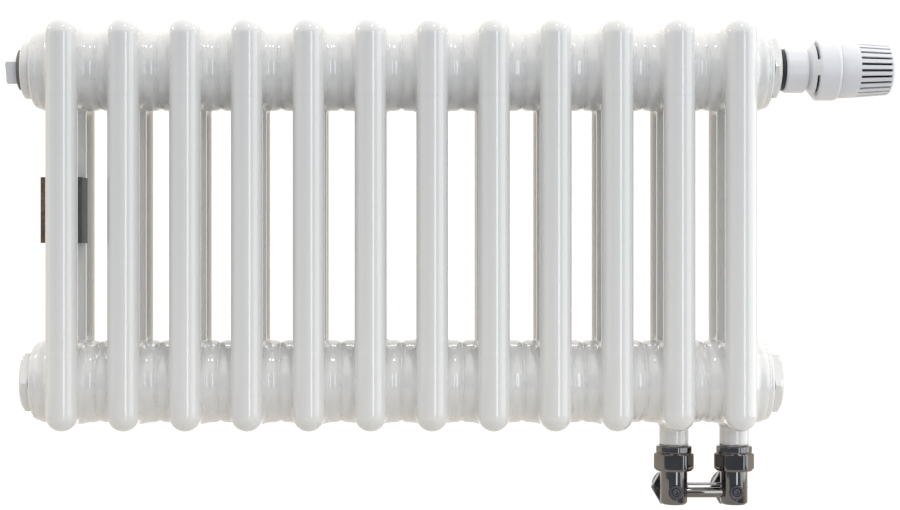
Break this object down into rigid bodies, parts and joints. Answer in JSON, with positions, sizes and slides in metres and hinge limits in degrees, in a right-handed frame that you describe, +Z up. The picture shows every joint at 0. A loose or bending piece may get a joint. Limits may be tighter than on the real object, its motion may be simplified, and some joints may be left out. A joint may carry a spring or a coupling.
{
  "type": "column radiator with thermostatic valve",
  "caption": "Wall-hung tubular steel column radiator, white, with a thermostatic head, an air vent and a chrome isolating valve block below.",
  "frame": {"origin": "where the wall brackets carry the radiator: underside of the top header's hubs, at mid-length and mid-depth", "axes": "+X along the columns towards the thermostatic head, +Y to the wall behind, +Z up"},
  "size_m": [0.7324, 0.101, 0.4017],
  "materials": {
    "enamel": "gloss",
    "white_plastic": "satin",
    "dark_plastic": "matte",
    "dark_chrome": "polished",
    "brass": "satin",
    "steel": "satin",
    "rubber": "matte",
    "label": "satin"
  },
  "bodies": {
    "radiator": {"column_01": "enamel", "column_02": "enamel", "column_03": "enamel", "column_04": "enamel", "column_05": "enamel", "column_06": "enamel", "column_07": "enamel", "column_08": "enamel", "column_09": "enamel", "column_10": "enamel", "column_11": "enamel", "column_12": "enamel", "boss_top_left": "enamel", "boss_bottom_left": "enamel", "boss_top_right": "enamel", "boss_bottom_right": "enamel", "bush_top_left": "enamel", "bush_top_right": "enamel", "plug_bottom_left": "enamel", "plug_bottom_right": "enamel", "vent_plug": "enamel", "return_stub": "enamel", "supply_stub": "enamel", "seal_top_left": "rubber", "seal_bottom_left": "rubber", "seal_top_right": "rubber", "seal_bottom_right": "rubber", "vent_gasket": "rubber", "return_cone_seal": "rubber", "supply_cone_seal": "rubber", "insert_body": "brass", "insert_gland": "brass", "seat_partition": "steel", "blanking_disc": "steel", "return_spring": "steel", "tie_rod": "steel", "lock_ring": "dark_plastic", "head_union_nut": "white_plastic", "head_base": "white_plastic", "return_nipple": "dark_chrome", "supply_nipple": "dark_chrome", "return_union_nut": "dark_chrome", "supply_union_nut": "dark_chrome", "return_valve_body": "dark_chrome", "supply_valve_body": "dark_chrome", "return_gland": "dark_chrome", "supply_gland": "dark_chrome", "bypass_tube": "dark_chrome", "label_plate": "label"},
    "handwheel": {"handwheel": "white_plastic"},
    "sensor": {"sensor_cartridge": "dark_plastic", "push_pin": "steel", "overtravel_spring": "steel"},
    "spindle": {"valve_spindle": "steel", "valve_disc": "rubber"},
    "bleed_screw": {"bleed_screw": "brass"},
    "return_isolator": {"return_spindle": "steel", "return_ball": "steel"},
    "supply_isolator": {"supply_spindle": "steel", "supply_ball": "steel"}
  },
  "joints": [
    {"name": "handwheel_turn", "type": "hinge", "parent": "radiator", "child": "handwheel", "pos_m": [0.3, 0, 0.03435], "axis": [-1, 0, 0], "range_deg": [0, 300]},
    {"name": "sensor_slide", "type": "slide", "parent": "radiator", "child": "sensor", "axis": [-1, 0, 0], "range_m": [0, 0.0025]},
    {"name": "spindle_slide", "type": "slide", "parent": "radiator", "child": "spindle", "axis": [-1, 0, 0], "range_m": [0, 0.0025], "deforming": ["return_spring"]},
    {"name": "bleed_screw_turn", "type": "hinge", "parent": "radiator", "child": "bleed_screw", "pos_m": [-0.3, 0, 0.03435], "axis": [-1, 0, 0], "range_deg": [0, 360]},
    {"name": "return_isolator_turn", "type": "hinge", "parent": "radiator", "child": "return_isolator", "pos_m": [0.2265, 0, -0.31545], "axis": [0, 1, 0], "range_deg": [0, 90]},
    {"name": "supply_isolator_turn", "type": "hinge", "parent": "radiator", "child": "supply_isolator", "pos_m": [0.2765, 0, -0.31545], "axis": [0, 1, 0], "range_deg": [0, 90]}
  ],
  "couplings": [
    {"joint": "sensor_slide", "follows": "handwheel_turn", "m_per_rad": 0.00047746},
    {"joint": "spindle_slide", "follows": "handwheel_turn", "m_per_rad": 0.00047746}
  ]
}
